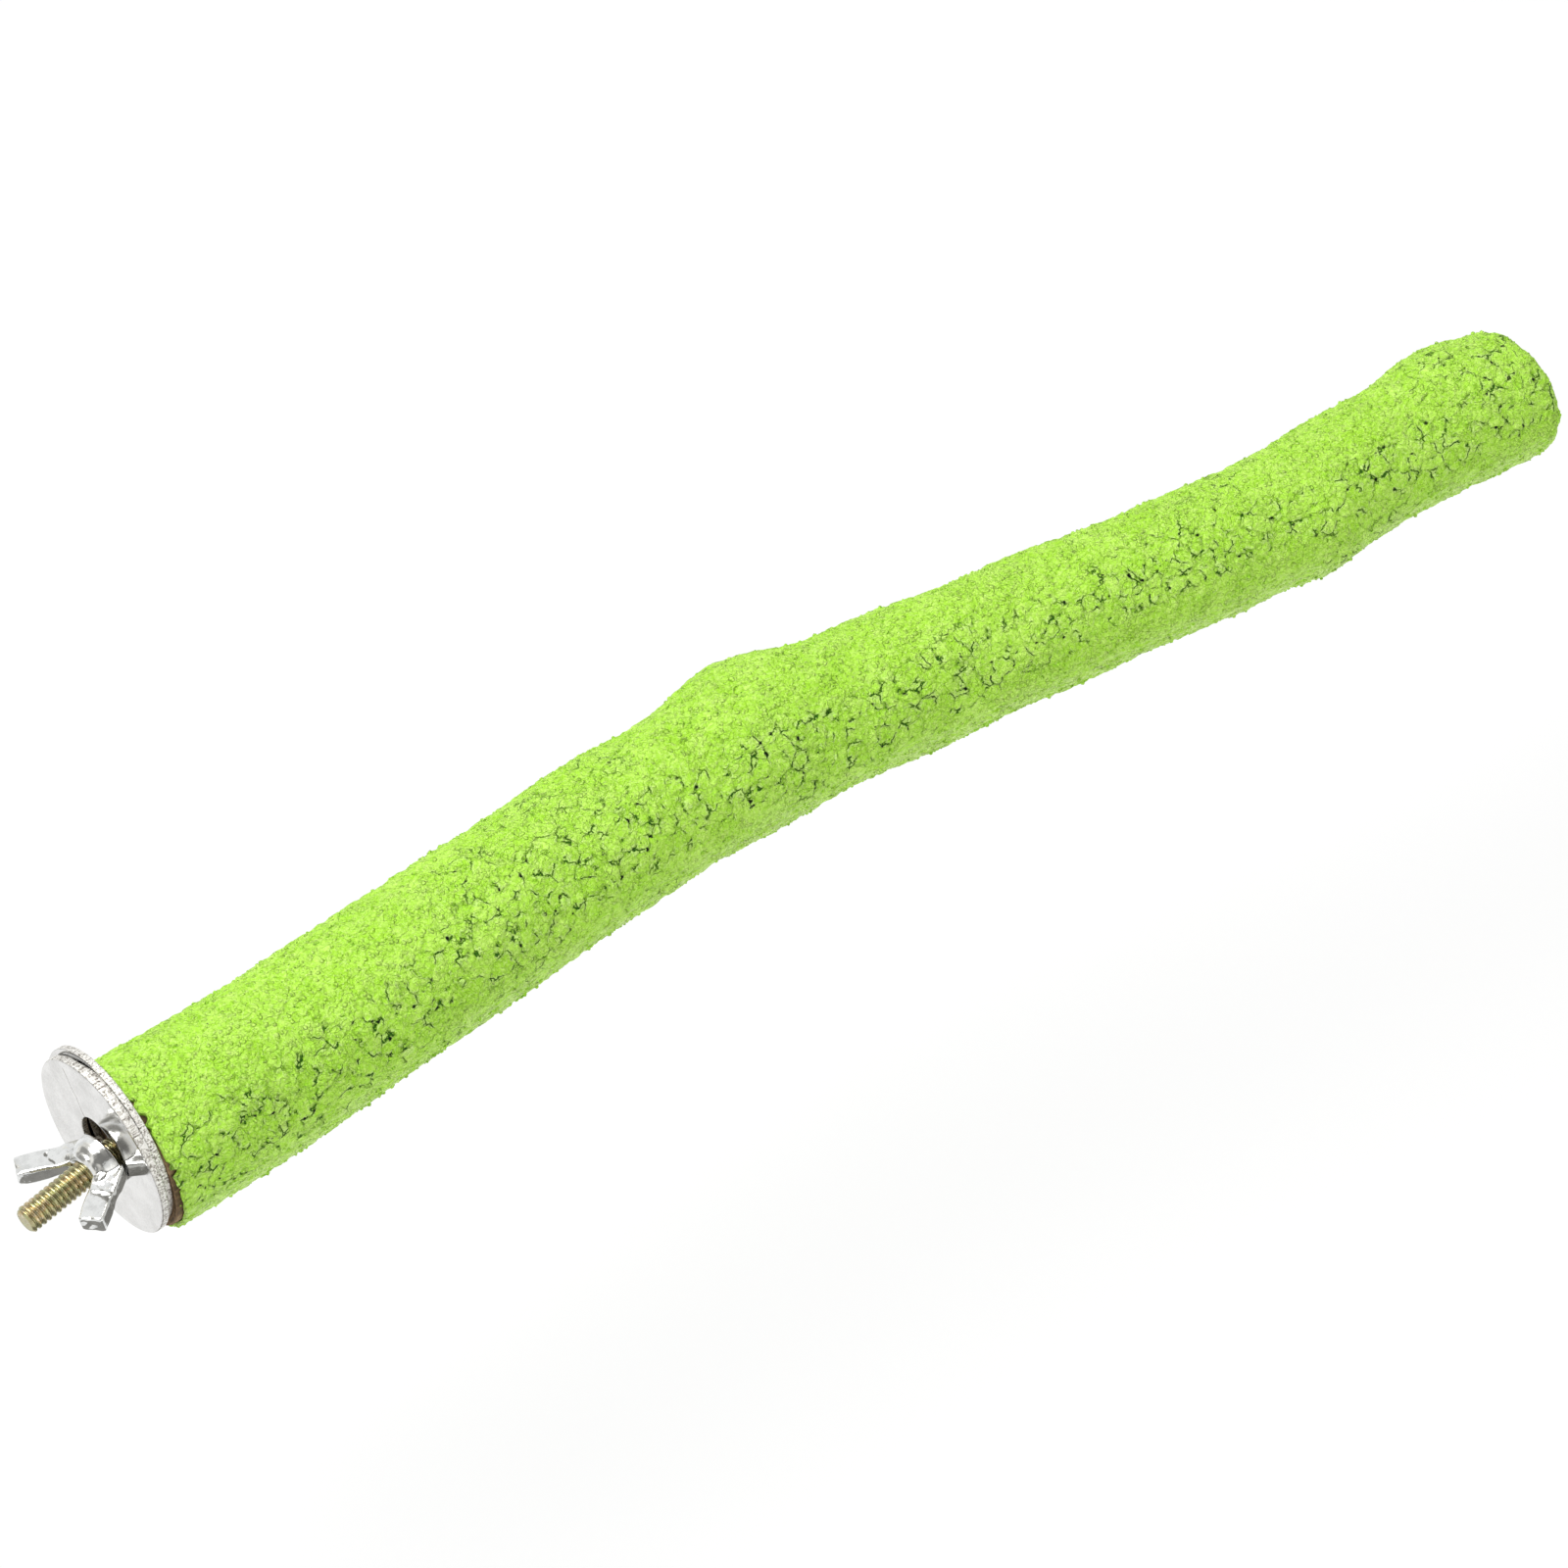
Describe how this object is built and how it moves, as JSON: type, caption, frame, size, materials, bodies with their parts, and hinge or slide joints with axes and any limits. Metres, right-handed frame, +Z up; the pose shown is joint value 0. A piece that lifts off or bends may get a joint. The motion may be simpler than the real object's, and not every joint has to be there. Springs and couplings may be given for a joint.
{
  "type": "bird perch",
  "caption": "Bent natural branch perch under a rough green grit coating, with a stud, large washers and a wing nut that clamp it to cage wires.",
  "frame": {"origin": "where the stud's axis crosses the clamp plane, which is the outer face of the rear washer", "axes": "+X from the clamp plane into the branch, -X out along the stud towards the wing nut, +Z up"},
  "size_m": [0.3148, 0.05, 0.0334],
  "materials": {
    "branch_wood": "sawn end and thin brown bark",
    "green_grit": "rough lime green sand coating",
    "yellow_zinc": "steel, yellow zinc plated",
    "bright_plate": "bright plated steel with fine scratches",
    "forged_zinc": "forged steel, bright zinc plated"
  },
  "bodies": {
    "perch": {"wood_branch": "branch_wood", "grit_coating": "green_grit", "hanger_bolt": "yellow_zinc"},
    "rear_washer": {"rear_washer": "bright_plate"},
    "front_washer": {"front_washer": "bright_plate"},
    "wing_nut": {"wing_nut": "forged_zinc"}
  },
  "joints": [
    {"name": "rear_washer_spin", "type": "hinge", "parent": "perch", "child": "rear_washer", "pos_m": [0.00063, 0.00199, 0.00134], "axis": [-1, 0, 0], "continuous": true},
    {"name": "front_washer_slide", "type": "slide", "parent": "perch", "child": "front_washer", "axis": [-0.993, -0.0982, -0.0662], "range_m": [0, 0.01165]},
    {"name": "wing_nut_turn", "type": "hinge", "parent": "front_washer", "child": "wing_nut", "pos_m": [0, 0, 0], "axis": [-0.993, -0.0982, -0.0662], "range_deg": [0, 3960]}
  ],
  "couplings": [
    {"joint": "front_washer_slide", "follows": "wing_nut_turn", "m_per_rad": 0.00016844}
  ]
}
